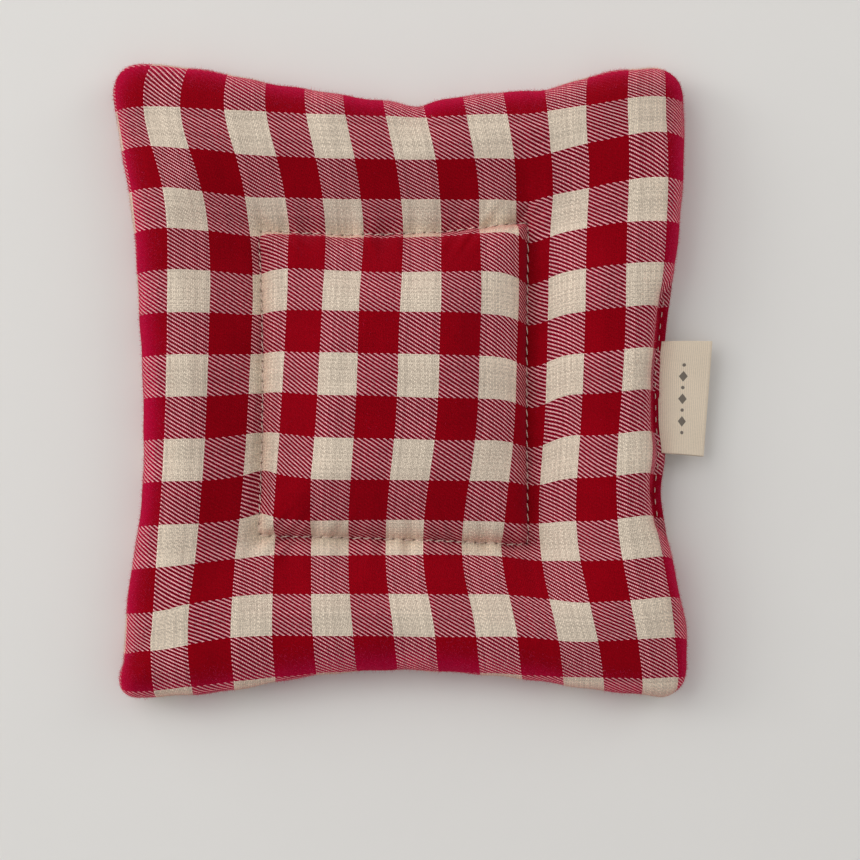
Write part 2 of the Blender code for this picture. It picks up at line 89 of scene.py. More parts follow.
pad = dict(
    halfWidth=67.5, halfLength=74.3, earRadius=9.0, height=12.0, seamHeight=5.0,
    rimRoll=13.5, rimFullness=2.5, underRoll=9.0, cornerSoftness=4.0,
    lipWidth=2.5, lipRise=0.6, lipRounding=0.75, lipFrom=-36.0, lipTo=20.5, lipFade=5.0,
    rightFullness=1.4, rightRoll=5.0,   # the right side is filled further out,
    rightFrom=40.0, rightFade=8.0,      # from this x
    rightHalf=62.0, rightEndFade=14.0,  # and up to this y at both ends
    channelDepth=7.8, channelSteep=1.2,
    channelInside=dict(share=0.20, rounding=0.3, reach=15.0, power=1.15),
    channelOutside=dict(share=0.05, rounding=1.1, reach=15.5, power=1.05),
    rightWall=0.20, rightWallFrom=8.0, rightWallFade=16.0,  # extra steep share towards the right
    middleSink=0.2, middleReach=14.0, underGroove=1.7, underGrooveReach=4.5,
    channelSpan=9.0, underChannelSpan=5.0, underRimSpan=13.0,   # where the mesh has close rings
    upperRings=dict(rim=17, between=8, channel=14, inner=22),
    underRings=dict(rim=10, between=5, channel=6, inner=8),
    stitches=(26, 31, 26, 30),          # on the top, right, bottom and left of the quilted square
    stepsPerStitch=5, pitDepth=0.4,
    channelShadeReach=2.6,                      # how far from the thread the cloth gets painted shade
    rimSheenReach=3.6, lipSheenCut=0.8,       # how far in from the edge the reds get a painted sheen, less on the lip
    seamCrease=0.4,                     # how far the seam is drawn in between the two panels
    draws=dict(                         # how far each side is drawn in, and how evenly
        top=(9.8, 1.4), right=(7.0, 2.0), bottom=(7.2, 1.5), left=(8.4, 2.0)),
    dents=(                             # side, place from -1 to 1, depth, width
        ("top", -0.65, -1.9, 0.25), ("top", -0.28, -0.7, 0.14), ("top", 0.07, 1.4, 0.06),
        ("top", 0.50, 1, 0.10), ("top", 0.74, -0.8, 0.12), ("top", 0.98, 0.9, 0.12),
        ("right", 1, 1.6, 0.12), ("right", 0.57, -2.9, 0.30), ("right", 0.15, -0.6, 0.12),
        ("right", -0.38, 1.3, 0.14), ("right", 0.33, -0.9, 0.16), ("right", -0.25, -0.8, 0.08),
        ("right", -0.76, -0.9, 0.10), ("right", -1, 1.6, 0.12),
        ("bottom", -0.60, -1.7, 0.24), ("bottom", 0.66, -0.6, 0.17),
        ("left", 0.75, -1.5, 0.28), ("left", 0.25, -0.8, 0.22), ("left", -0.40, 1.3, 0.25),
        ("left", -1, 3.8, 0.25), ("left", 0, 0.5, 4)),
    scallop=0.16, scallopPitch=10.5, scallopDrift=0.83,
    quiltCorners=((-32.4, 34.5), (30.2, 36.5), (29.8, -38.7), (-31.9, -36.6)),  # clockwise
    quiltBows=dict(top=2.1, right=0.4, bottom=0.3, left=1), quiltCornerRadius=1.3,
    swells=(                            # x, y, rise, reach
        (41, 49, 0.7, 16), (-48, 45, 0.4, 15), (-48, -51, 0.5, 17),
        (47, -53, 0.4, 15), (46, 20, 1.1, 14), (46, -24, 1.1, 14),
        (4, 53, -0.7, 11.5), (1, -56, -0.5, 11.5), (-46, -5, -0.3, 14),
        (0, -4, 2.5, 22)),
    creases=(                           # from x, y to x, y, depth (negative for a ridge), width
        (30, 36.5, 26.6, 61, 1.3, 3), (35, 36.5, 33.8, 61.5, -0.6, 2.8),
        (5.8, 62.5, 11.5, 50.5, 1.2, 3), (-32, 34, -32.3, 44.5, 1, 2.5),
        (-12.7, 33.8, -13.8, 43.5, 0.6, 2.3), (9, 33, 9.7, 43.5, 0.6, 2.3),
        (-24.7, -37.5, -23.7, -66.5, 0.8, 2.8), (11.2, -39, 11.6, -52.5, -0.6, 2.5),
        (16.3, -39.5, 18.1, -61, 0.6, 2.6), (-31.4, -37, -34.8, -49.5, 0.9, 2.7),
        (29.6, -39, 34.5, -52, 0.9, 2.8), (-0.7, -67, 0.6, -59, 0.8, 2.8)),
    gathers=dict(                       # pitch, rise, reach of the broad gathers
        top=(8.2, 0.40, 5.7), right=(11.9, 0.20, 4.3),
        bottom=(7.6, 0.40, 5.7), left=(10.9, 0.24, 4.3)),
    gatherWander=0.9, gatherDrift=0.37,
    puckers=dict(pitch=4.6, rise=0.46, sideRise=0.16, hold=0.35, reach=4.8),
    unevenness=0.10,
    upperOffset=(-0.2, 5.4), underOffset=(2.6, 3.1),    # cloth at the middle of each panel
    takeUpSpread=11,                    # how far along the thread its take-up evens out
    # where the sewing moves the checks: x, y, pull in u and v, reach in x and y
    tugs=(
        (0, 64, 3.4, -1.6, 70, 14), (-54, 58, 2.6, 0, 12, 14),
        (58, 60, -0.5, -3.2, 15, 14), (-27, 26, -2.4, -1, 14, 24),
        (16, -40, 4.2, -0.6, 34, 22), (60, -24, 3.4, 0, 18, 26),
        (60, 0, 0.6, -1.8, 12, 60), (-31, -16, 0, -1.8, 9, 26),
        (-50, -45, 1.6, 0, 16, 26), (-54, -60, 0, 1.8, 12, 12),
        (-40, 76, 0, -2.6, 26, 10), (31, 2, 0, 1.9, 5, 36),
        (-33, 22, 0, 0.9, 6, 18), (31, 28, 0, 0.8, 5, 12),
        (-31, -26, 0, -1.2, 3, 10), (-52, 76, 0, -1.4, 11, 7),
        (-45, 57, 0.2, -1, 22, 10), (-62, 68, 1.2, -0.4, 8, 10),
        (-67, 38, 0.6, 1.2, 7, 30), (-50, 0, 0.7, 0, 10, 80),
        (40, 57, 0.8, -1.4, 11, 9), (2, 37, 0, -1.2, 28, 7),
        (-2, 33, -0.9, 0, 13, 11), (24, 18, -0.5, 0, 9, 9),
        (58, 50, -0.9, 0, 10, 18), (57, -42, -1.2, -0.8, 11, 22),
        (40, -57, 0, 1.5, 9, 9), (12, -56, -0.7, 0.3, 18, 9),
        (12, -10, 0, 0.7, 16, 18), (39, -12, 0, -0.8, 5, 16),
        (64, -57, -0.6, -1.7, 7, 20), (-68, 40, 1.1, 0, 4, 36),
        (-52, 76, 0, -1.2, 16, 5), (40, 76, 0, -1.4, 26, 6.5),
        (-30, 19, 0.5, -0.5, 6, 14), (40, 38, 0, -0.4, 22, 20),
        (5, 19, -0.6, 0, 6, 8), (21, 55, 0.6, -0.4, 7, 8),
        (-52, -58, 0.6, 0, 9, 10), (-20, -28, 0.5, 0, 9, 14),
        (-50, -77, 0, 3, 28, 8), (-20, -74, -0.8, 0, 42, 9),
        (52, 76, 0, -2, 15, 6), (-60, 76, 0, -1, 20, 5),
        (57, -15, -1.3, 0, 11, 45), (22, 70, 1.8, 0, 30, 7)),
)
sides = ("top", "right", "bottom", "left")


def roundedSide(halfAlong, halfOut, radius, count):
    # run along one side of a rounded rectangle: half an arc, the straight, half an arc
    halfArc = radius * math.pi / 4
    straight = 2 * (halfAlong - radius)
    run = np.arange(count) / count * (2 * halfArc + straight)
    turn = (np.clip(run - halfArc - straight, 0, None) - np.clip(halfArc - run, 0, None)) / radius
    along = np.clip(run - halfArc, 0, straight) - straight / 2 + radius * np.sin(turn)
    return along, halfOut - radius + radius * np.cos(turn), turn


def roundedLoop(halfX, halfY, radius):
    # clockwise rounded rectangle from its top left corner, with its outward normals
    points, normals = [], []
    for index, stitches in enumerate(pad["stitches"]):
        halves = (halfY, halfX) if index % 2 else (halfX, halfY)
        along, out, turn = roundedSide(*halves, radius, stitches * pad["stepsPerStitch"])
        heading = (1 - index) * math.pi / 2
        outwards = np.array((math.cos(heading), math.sin(heading)))
        forwards = np.array((outwards[1], -outwards[0]))
        points.append(np.outer(along, forwards) + np.outer(out, outwards))
        normals.append(np.outer(np.sin(turn), forwards) + np.outer(np.cos(turn), outwards))
    return np.concatenate(points), np.concatenate(normals)


def sideInset(side, at):
    # draw * (1 - |at|^evenness) plus a Gaussian for every dent
    inward, evenness = pad["draws"][side]
    inset = inward * (1 - np.clip(np.abs(at), 0, 1) ** evenness)
    for name, place, depth, width in pad["dents"]:
        if name == side:
            inset = inset + depth * np.exp(-((at - place) / width) ** 2)
    return inset


def edgeLoop():
    # the pad's edge from above: the rounded rectangle moved in along its normals
    points, normals = roundedLoop(pad["halfWidth"], pad["halfLength"], pad["earRadius"])
    x, y = points.T
    atX, atY = x / pad["halfWidth"], y / pad["halfLength"]
    across = np.where(normals[:, 0] > 0, sideInset("right", atY), sideInset("left", atY))
    upwards = np.where(normals[:, 1] > 0, sideInset("top", atX), sideInset("bottom", atX))
    phase = 2 * math.pi / pad["scallopPitch"]
    wave = np.sin(phase * x) * np.cos(pad["scallopDrift"] * phase * y)
    inset = across * normals[:, 0] ** 2 + upwards * normals[:, 1] ** 2 + pad["scallop"] * wave
    return points - normals * inset[:, None]


def quiltLoop():
    # the stitched square: four corners joined by sides that bow in by a parabola
    corners = np.array(pad["quiltCorners"])
    halfWidth = (corners[1, 0] - corners[0, 0]) / 2
    points, normals = roundedLoop(1.0, 1.0, pad["quiltCornerRadius"] / halfWidth)
    right, up = (points[:, :1] + 1) / 2, (points[:, 1:] + 1) / 2
    upper = corners[0] * (1 - right) + corners[1] * right
    lower = corners[3] * (1 - right) + corners[2] * right
    bows = pad["quiltBows"]
    bowX = np.where(normals[:, 0] > 0, bows["right"], bows["left"]) * (1 - points[:, 1] ** 2)
    bowY = np.where(normals[:, 1] > 0, bows["top"], bows["bottom"]) * (1 - points[:, 0] ** 2)
    bow = bowX * normals[:, 0] ** 2 + bowY * normals[:, 1] ** 2
    return lower * (1 - up) + upper * up - normals * bow[:, None]


def distanceToSide(points, side):
    # shortest distance from each point to an open line
    start, step = side[None, :-1], np.diff(side, axis=0)[None]
    offset = points[:, None] - start
    share = np.clip((offset * step).sum(2) / (step * step).sum(2), 0, 1)
    return np.sqrt((((offset - share[:, :, None] * step)) ** 2).sum(2).min(1))


def distanceToLoop(points, loop):
    # power mean of the distances to the four sides, so the corners come out rounded
    smallest = 0.001
    marks = np.concatenate(((0,), np.cumsum(pad["stitches"]) * pad["stepsPerStitch"]))
    softness = pad["cornerSoftness"]
    total = 0
    for first, last in zip(marks[:-1], marks[1:]):
        side = loop[np.arange(first, last + 1) % len(loop)]
        total = total + np.clip(distanceToSide(points, side), smallest, None) ** -softness
    return total ** (-1 / softness) - smallest


def unit(vectors):
    # vectors of length one in the same directions
    return vectors / (np.linalg.norm(vectors, axis=-1, keepdims=True) + 1e-12)


def ease(value):
    # 3t^2 - 2t^3 between 0 and 1
    held = np.clip(value, 0, 1)
    return held * held * (3 - 2 * held)


def lipShare(points):
    # 1 along the closed turning gap on the right side, 0 elsewhere
    begins = ease((points[:, 1] - pad["lipFrom"]) / pad["lipFade"] + 0.5)
    ends = ease((pad["lipTo"] - points[:, 1]) / pad["lipFade"] + 0.5)
    return begins * ends * (points[:, 0] > 0)


def rimRise(distance, roll, extra=0.0):
    # sqrt(1 - (1 - d / roll)^fullness): upright at the edge, level from the roll inwards
    return np.sqrt(1 - (1 - np.clip(distance / roll, 0, 1)) ** (pad["rimFullness"] + extra))


def channelDrop(points, distance, inside):
    # a steep share as exp(-d / steep), and the rest as the long slope (1 - d / reach)^power
    slope = pad["channelInside"] if inside else pad["channelOutside"]
    rounded = np.sqrt(distance ** 2 + slope["rounding"] ** 2) - slope["rounding"]
    towardsRight = ease((points[:, 0] - pad["rightWallFrom"]) / pad["rightWallFade"])
    share = slope["share"] + pad["rightWall"] * towardsRight * bool(inside)
    steep = np.exp(-rounded / pad["channelSteep"])
    broad = np.clip(1 - rounded / slope["reach"], 0, 1) ** slope["power"]
    return pad["channelDepth"] * (share * steep + (1 - share) * broad)


def fillingRise(points):
    # Gaussian swells, creases that fade along their run, and slow unevenness
    x, y = points.T
    total = np.zeros(len(points))
    for centreX, centreY, rise, reach in pad["swells"]:
        total = total + rise * np.exp(-((x - centreX) ** 2 + (y - centreY) ** 2) / reach ** 2)
    for fromX, fromY, toX, toY, depth, width in pad["creases"]:
        length = math.hypot(toX - fromX, toY - fromY)
        runX, runY = (toX - fromX) / length, (toY - fromY) / length
        along = (x - fromX) * runX + (y - fromY) * runY
        aside = (y - fromY) * runX - (x - fromX) * runY
        fade = (1 - ease(along / length)) * ease(1 + along / width)
        total = total - depth * fade * np.exp(-((aside / width) ** 2))
    waves = ((0.37, 0.21, 0.4), (-0.24, 0.46, 2.1), (0.52, -0.33, 4.0), (0.13, 0.62, 5.2))
    for waveX, waveY, phase in waves:
        total = total + pad["unevenness"] / 2 * np.sin(waveX * x + waveY * y + phase)
    return total


def gatherRise(points, distance):
    # cosine ripples across the stitched line, each side's own, fading away from it
    corners = np.array(pad["quiltCorners"])
    nearness = dict(
        top=np.abs(points[:, 1] - corners[1, 1]), right=np.abs(points[:, 0] - corners[1, 0]),
        bottom=np.abs(points[:, 1] - corners[3, 1]), left=np.abs(points[:, 0] - corners[0, 0]))
    nearest = np.min(list(nearness.values()), axis=0)
    total = 0
    for side in sides:
        pitch, rise, reach = pad["gathers"][side]
        phase = 2 * math.pi * points[:, 0 if side in ("top", "bottom") else 1] / pitch
        ripple = np.cos(phase + pad["gatherWander"] * np.sin(pad["gatherDrift"] * phase))
        share = np.exp(-(((nearness[side] - nearest) / reach) ** 2)) * np.exp(-distance / reach)
        total = total + rise * ripple * share
    return total


def puckerRise(run, lean, distance, inside):
    # ripples of a wandering sine beside the thread, held down at it and faded by a Gaussian;
    # run is the length along the thread, and lean is 1 on the top and bottom of the square,
    # where the cloth is pushed up most
    puckers = pad["puckers"]
    phase = 2 * math.pi * run / puckers["pitch"] + 2.1 * inside
    ripple = np.sin(phase + 1.2 * np.sin(0.21 * phase) + 0.7 * np.sin(0.53 * phase))
    strength = 0.65 + 0.35 * np.sin(0.17 * phase + 1.0 + inside)
    rise = puckers["sideRise"] + (puckers["rise"] - puckers["sideRise"]) * lean
    held = distance / (distance + puckers["hold"]) * np.exp(-((distance / puckers["reach"]) ** 2))
    return rise * strength * ripple * held


def lipAt(points, toEdge):
    # the flat lip's width and rise: the rise is rounded off at the edge by 1 - exp(-d / rounding)
    share = lipShare(points)
    rise = pad["lipRise"] * share
    return pad["lipWidth"] * share, rise, rise * (1 - np.exp(-toEdge / pad["lipRounding"]))


def upperHeight(points, toEdge, toQuilt, inside, pucker):
    # seam + lip + (filling + relief) * rim, where the relief gathers all that the sewing does
    lipWidth, lipRise, lip = lipAt(points, toEdge)
    full = ease((points[:, 0] - pad["rightFrom"]) / pad["rightFade"])
    full = full * ease((pad["rightHalf"] - np.abs(points[:, 1])) / pad["rightEndFade"])
    roll = pad["rimRoll"] - lipWidth - pad["rightRoll"] * full
    rim = rimRise(np.clip(toEdge - lipWidth, 0, None), roll, pad["rightFullness"] * full)
    body = pad["height"] - pad["seamHeight"] - lipRise
    relief = fillingRise(points) + gatherRise(points, toQuilt) + pucker
    relief = relief - channelDrop(points, toQuilt, inside)
    relief = relief - pad["middleSink"] * inside * ease(toQuilt / pad["middleReach"])
    return pad["seamHeight"] + lip + (body + relief) * rim


def underHeight(points, toEdge, toQuilt):
    # seam - lip - (seam - lip) * rim down to the flat underside, with a parabolic groove
    lipWidth, lipRise, lip = lipAt(points, toEdge)
    rim = rimRise(np.clip(toEdge - lipWidth, 0, None), pad["underRoll"] - lipWidth)
    groove = pad["underGroove"] * np.clip(1 - toQuilt / pad["underGrooveReach"], 0, 1) ** 2
    height = pad["seamHeight"] - lip - (pad["seamHeight"] - lipRise) * rim
    return np.where(toEdge >= pad["underRoll"], groove, height)


def ringPlan(edge, quilt, rimSteps, channelSteps, between, inner):
    # closed rings in plan along the spokes from the edge to the quilted square and on to the middle
    length = np.linalg.norm(quilt - edge, axis=1, keepdims=True)
    towards = (quilt - edge) / length
    rings = [edge + towards * step for step in rimSteps]
    spare = length - rimSteps[-1] - channelSteps[-1]
    shares = np.linspace(0, 1, between + 2)[1:-1]
    rings += [edge + towards * (rimSteps[-1] + spare * share) for share in shares]
    rings += [quilt - towards * step for step in channelSteps[::-1]] + [quilt]
    reach = np.abs(quilt).max(axis=0)
    rings += [quilt * (1 - step / reach) for step in channelSteps]
    last = quilt * (1 - channelSteps[-1] / reach)
    return np.array(rings + [last * share for share in np.linspace(1, 0, inner + 2)[1:-1]])


def spacedPlan(edge, quilt, rings, rim, channel):
    # rings at span * (step / steps)^power from the edge and from the thread, with the number of the
    # ring on the thread; rim and channel are each a span and a power
    rimSteps, channelSteps = (
        span * (np.arange(1, steps + 1) / steps) ** power
        for steps, (span, power) in ((rings["rim"], rim), (rings["channel"], channel)))
    plan = ringPlan(edge, quilt, rimSteps, channelSteps, rings["between"], rings["inner"])
    return plan, rings["rim"] + rings["between"] + rings["channel"]


def clothPlace(rings, middle, offset):
    # where each point lies in the flat cloth: from the middle out along each spoke, a step in plan
    # is stretched along the slope to the length that it has on the surface, and this take-up is
    # evened out along each ring by a Gaussian blur
    path = np.concatenate((np.broadcast_to(middle, (1,) + rings.shape[1:]), rings[::-1]))
    ahead = np.gradient(path, axis=0)
    around = np.roll(path, -1, axis=1) - np.roll(path, 1, axis=1)
    normal = np.cross(ahead, around)
    downhill = unit(normal[..., :2])
    slope = (downhill[1:] + downhill[:-1]) / 2
    step = np.diff(path, axis=0)
    along = (step[..., :2] * slope).sum(-1)
    extra = np.hypot(along, step[..., 2]) - np.abs(along)
    takeUp = np.cumsum(slope * (np.sign(along) * extra)[..., None], axis=0)[::-1]
    spacing = np.linalg.norm(around, axis=-1).mean(1)[1:][::-1] / 2
    waves = np.fft.fftfreq(rings.shape[1])[None, :, None] / spacing[:, None, None]
    blur = np.exp(-2 * (math.pi * waves * pad["takeUpSpread"]) ** 2)
    takeUp = np.fft.ifft(np.fft.fft(takeUp, axis=1) * blur, axis=1).real
    return rings[..., :2] + takeUp + np.array(offset)


def tugged(cloth, plan):
    # every tug moves the checks round its place by a Gaussian share of its pull
    for x, y, pullU, pullV, reachX, reachY in pad["tugs"]:
        share = np.exp(-((plan[..., 0] - x) / reachX) ** 2 - ((plan[..., 1] - y) / reachY) ** 2)
        cloth = cloth + share[..., None] * np.array((pullU, pullV))
    return cloth


def padSurface():
    # every ring of the pad with its heights, from the upper middle over the edge to the under middle
    edge, quilt = edgeLoop(), quiltLoop()
    run = np.cumsum(np.linalg.norm(quilt - np.roll(quilt, 1, axis=0), axis=1))
    lean = np.abs(unit(np.roll(quilt, -1, axis=0) - np.roll(quilt, 1, axis=0))[:, 0])
    plan, quiltRing = spacedPlan(
        edge, quilt, pad["upperRings"], (pad["rimRoll"], 1.8), (pad["channelSpan"], 1.7))
    upper = []
    for index, ring in enumerate(plan):
        toEdge, toQuilt = distanceToLoop(ring, edge), distanceToLoop(ring, quilt)
        inside = float(index > quiltRing)
        pucker = puckerRise(run, lean, toQuilt, inside)
        upper.append(np.column_stack((ring, upperHeight(ring, toEdge, toQuilt, inside, pucker))))
    underPlan, underQuiltRing = spacedPlan(
        edge, quilt, pad["underRings"], (pad["underRimSpan"], 1.6), (pad["underChannelSpan"], 1.4))
    under = []
    for ring in underPlan:
        height = underHeight(ring, distanceToLoop(ring, edge), distanceToLoop(ring, quilt))
        under.append(np.column_stack((ring, height)))
    return edge, np.array(upper), np.array(under), quiltRing, underQuiltRing


def pressStitches(rings, quiltRing, part):
    # every needle hole is a pit in the thread's ring and the rings beside it; part is the share of
    # its full depth, and negative on the underside
    hole = np.arange(rings.shape[1]) % pad["stepsPerStitch"] == 0
    for offset, share in ((0, 1.0), (-1, 0.8), (1, 0.8), (-2, 0.35), (2, 0.35)):
        rings[quiltRing + offset, hole, 2] -= part * pad["pitDepth"] * share
    return hole


edge, upper, under, quiltRing, underQuiltRing = padSurface()
count = len(edge)
upperMiddle = np.array((0.0, 0.0, upper[-1, :, 2].mean()))
underMiddle = np.zeros(3)
upperCloth = tugged(clothPlace(upper, upperMiddle, pad["upperOffset"]), upper)
underCloth = clothPlace(under, underMiddle, pad["underOffset"])
hole = pressStitches(upper, quiltRing, 1.0)
pressStitches(under, underQuiltRing, -0.6)
print("pad surface:", upper.shape, under.shape)


def buildPad():
    # upper rings from the middle out, the seam drawn in between the panels, then the under rings;
    # the marks for the holes, fold and rim are Gaussians of the distance from the holes, thread and
    # edge; they carry painted shade in the needle holes, painted shade along the thread and a painted
    # sheen on the reds near the edge
    creased = edge + unit(upper[3, :, :2] - edge) * pad["seamCrease"]
    seam = np.column_stack((creased, np.full(count, pad["seamHeight"])))
    upperSeam = upperCloth[0] * 2 - upperCloth[1]
    underSeam = underCloth[0] * 2 - underCloth[1]
    rings = np.concatenate((upper[::-1], seam[None], seam[None], under))
    cloth = np.concatenate((upperCloth[::-1], upperSeam[None], underSeam[None], underCloth))
    # painted shade in the needle holes: this mark darkens the cloth at each hole
    holeShade = np.zeros(rings.shape[:2])
    for offset, share in ((0, 1.0), (-1, 0.6), (1, 0.6), (-2, 0.15), (2, 0.15)):
        holeShade[len(upper) - 1 - quiltRing + offset, hole] = share
        holeShade[len(upper) + 2 + underQuiltRing + offset, hole] = share
    quilt = upper[quiltRing, :, :2]
    # fold: painted shade along the thread, where the cloth dips into the channel
    fold = np.array([distanceToLoop(ring[:, :2], quilt) for ring in rings])
    fold = np.exp(-((fold / pad["channelShadeReach"]) ** 2))
    # rim: painted sheen, the reds made brighter near the edge and less so on the lip
    rim = np.linalg.norm(rings[..., :2] - edge, axis=2)
    rim = np.exp(-((rim / pad["rimSheenReach"]) ** 2))
    rim = rim * (1 - pad["lipSheenCut"] * lipShare(rings.reshape(-1, 3)).reshape(rim.shape))
    points = np.concatenate((rings.reshape(-1, 3), (upperMiddle, underMiddle)))
    places = np.concatenate((cloth.reshape(-1, 2), (pad["upperOffset"], pad["underOffset"])))
    quads = quadGrid(len(rings), count)
    lastRing = (len(rings) - 1) * count
    triangles = np.concatenate((fan(len(points) - 2, np.arange(count)[::-1]),
                                fan(len(points) - 1, np.arange(lastRing, lastRing + count))))
    marks = {title: np.concatenate((values.ravel(), (0.0, 0.0)))
             for title, values in (("holeShade", holeShade), ("fold", fold), ("rim", rim))}
    return makePiece("pad_filled", points, quads, triangles, places, marks)


padPiece = buildPad()
print("pad built:", len(padPiece.data.polygons), "faces")


# Thread: the quilting on both faces, and the edge stitches of the closed gap

thread = dict(
    radius=0.11, lift=0.64, dip=0.10, slant=0.22, sides=6, steps=7, endShare=0.8,
    underLift=0.25, underSlant=0.1,
    lipPitch=2.7, lipInset=1.55, lipLift=0.1,
    shownFrom=0.3, shownTo=0.75,        # the part of each edge stitch that lies on top of the cloth
    colour=(0.82, 0.62, 0.52), plyLength=0.5, plyShade=0.25, plyDepth=0.06)


def threadTubes(starts, ends, lift):
    # one tube for each pair of points: the middle line is start + t (end - start) raised by
    # lift * 4t(1 - t), and thins towards both ends
    t = np.linspace(0, 1, thread["steps"])
    arch = 4 * t * (1 - t)
    run = ends - starts
    line = starts[:, None] + run[:, None] * t[None, :, None]
    line[..., 2] += lift * arch - thread["dip"] * (1 - arch) ** 2
    ahead = unit(np.gradient(line, axis=1))
    aside = unit(np.cross(ahead, (0.0, 0.0, 1.0)))
    above = np.cross(aside, ahead)
    turn = np.arange(thread["sides"]) / thread["sides"] * 2 * math.pi
    radius = thread["radius"] * (thread["endShare"] + (1 - thread["endShare"]) * arch)
    radius = radius[None, :, None, None]
    circle = aside[:, :, None] * np.cos(turn)[:, None] + above[:, :, None] * np.sin(turn)[:, None]
    points = line[:, :, None] + radius * circle
    tips = np.stack((line[:, 0] - ahead[:, 0] * 0.05, line[:, -1] + ahead[:, -1] * 0.05), axis=1)
    around, along = np.meshgrid(turn / (2 * math.pi), t * np.linalg.norm(run, axis=1).mean())
    flat = np.stack((along, around), axis=-1).reshape(-1, 2)
    return points.reshape(len(starts), -1, 3), tips, flat


def buildThreads(name, groups):
    # all tubes of one kind as one mesh of closed pieces
    sidesRound, steps = thread["sides"], thread["steps"]
    tubeQuads = quadGrid(steps, sidesRound)
    ring = np.arange(sidesRound)
    body = sidesRound * steps
    tubeTriangles = np.concatenate((fan(body, ring[::-1]), fan(body + 1, ring + body - sidesRound)))
    points = np.concatenate([np.concatenate((tubes, tips), axis=1) for tubes, tips, _ in groups])
    flat = np.concatenate([np.tile(np.concatenate((part[2], ((0, 0), (0, 0)))), (len(part[0]), 1))
                           for part in groups])
    shift = np.arange(len(points))[:, None, None] * (body + 2)
    return makePiece(name, points.reshape(-1, 3), (tubeQuads + shift).reshape(-1, 4),
                     (tubeTriangles + shift).reshape(-1, 3), flat)


def slanted(line, slant):
    # neighbouring holes joined by stitches that lie a little askew
    ahead = np.roll(line, -1, axis=0) - line
    aside = unit(np.column_stack((ahead[:, 1], -ahead[:, 0], np.zeros(len(line))))) * slant
    return line + aside, np.roll(line, -1, axis=0) - aside


def rightEdge(y):
    # x of the pad's right edge at each y
    right = edge[(edge[:, 0] > 0) & (np.abs(edge[:, 1]) < pad["halfLength"] / 2)]
    right = right[np.argsort(right[:, 1])]
    return np.interp(y, right[:, 1], right[:, 0])


def lipLine():
    # points along the closed turning gap, a little in from the edge and far from the quilting
    y = np.arange(pad["lipFrom"] + 3, pad["lipTo"] - 2, thread["lipPitch"])
    points = np.column_stack((rightEdge(y) - thread["lipInset"], y))
    toQuilt = np.full(len(y), 25.0)
    height = upperHeight(points, distanceToLoop(points, edge), toQuilt, 0.0, 0.0)
    return np.column_stack((points, height))


holes = upper[quiltRing, hole]
underHoles = under[underQuiltRing, hole]
topGroup = threadTubes(*slanted(holes, thread["slant"]), thread["lift"])
lip = lipLine()
lipStep = np.diff(lip, axis=0)
lipStarts, lipEnds = (lip[:-1] + lipStep * thread[part] for part in ("shownFrom", "shownTo"))
lipGroup = threadTubes(lipStarts, lipEnds, thread["lipLift"])
underGroup = threadTubes(*slanted(underHoles, thread["underSlant"]), thread["underLift"])
threadPiece = buildThreads("quilting_thread", (topGroup, lipGroup, underGroup))
print("thread built:", len(threadPiece.data.polygons), "faces")


# Label: a short piece of ribbed tape, folded in two and caught in the seam

label = dict(
    width=26.2, shown=11.0,             # across the tape, and from the seam to the fold
    layer=0.5, gap=0.32, top=8.1, bottom=-17.7, foldTop=(72.5, 8.3, 4.1), foldBottom=(70.2, -18.3, 3.6),
    swell=0.5, rootSink=0.9, rootPinch=0.4, rib=0.46, ribDepth=0.04, wave=0.12,
    stations=90, ribSteps=5, foldSteps=14)


def labelSurface(reach):
    # one skin of the folded tape: the straight layers and the half circle of the fold in section,
    # carried along the seam, with ribs as a cosine along the section
    low, high = np.array(label["foldBottom"]), np.array(label["foldTop"])
    radius = (label["layer"] + label["gap"]) / 2
    ribs = label["shown"] / label["rib"]
    straight = np.linspace(0, 1, int(ribs * label["ribSteps"]))
    turn = np.linspace(0, math.pi, label["foldSteps"] + 2)[1:-1]
    along = np.concatenate((straight, np.ones(label["foldSteps"]), straight[::-1]))
    beyond = np.concatenate((0 * straight, np.sin(turn), 0 * straight))
    up = np.concatenate((1 + 0 * straight, np.cos(turn), -1 + 0 * straight))
    share = np.linspace(0, 1, label["stations"])[:, None]
    rootY = label["bottom"] + (label["top"] - label["bottom"]) * share
    rootX = rightEdge(rootY) - label["rootSink"]
    root = np.stack((rootX, rootY, np.full_like(rootY, pad["seamHeight"])), axis=2)
    inset = np.array((radius + label["layer"] / 2, 0, 0))
    fold = low * (1 - share[:, :, None]) + high * share[:, :, None] - inset
    place = root * (1 - along[None, :, None]) + fold * along[None, :, None]
    bow = label["swell"] * np.sin(math.pi * along)[None]
    bow = bow + label["wave"] * np.sin(7 * share + 3 * along[None])
    relief = label["ribDepth"] * np.cos(2 * math.pi * ribs * along)[None] * np.sign(reach)
    pinch = label["rootPinch"] + (1 - label["rootPinch"]) * ease(along / 0.3)[None]
    thickness = radius * pinch + reach + relief
    place[:, :, 0] += thickness * beyond[None]
    place[:, :, 2] += bow + thickness * up[None]
    lengthwise = label["shown"] * (along + (up < 0) * 2 * (1 - along))
    shape = place.shape[:2]
    flat = (np.broadcast_to(share * label["width"], shape), np.broadcast_to(lengthwise[None], shape))
    return place, np.stack(flat, axis=2)


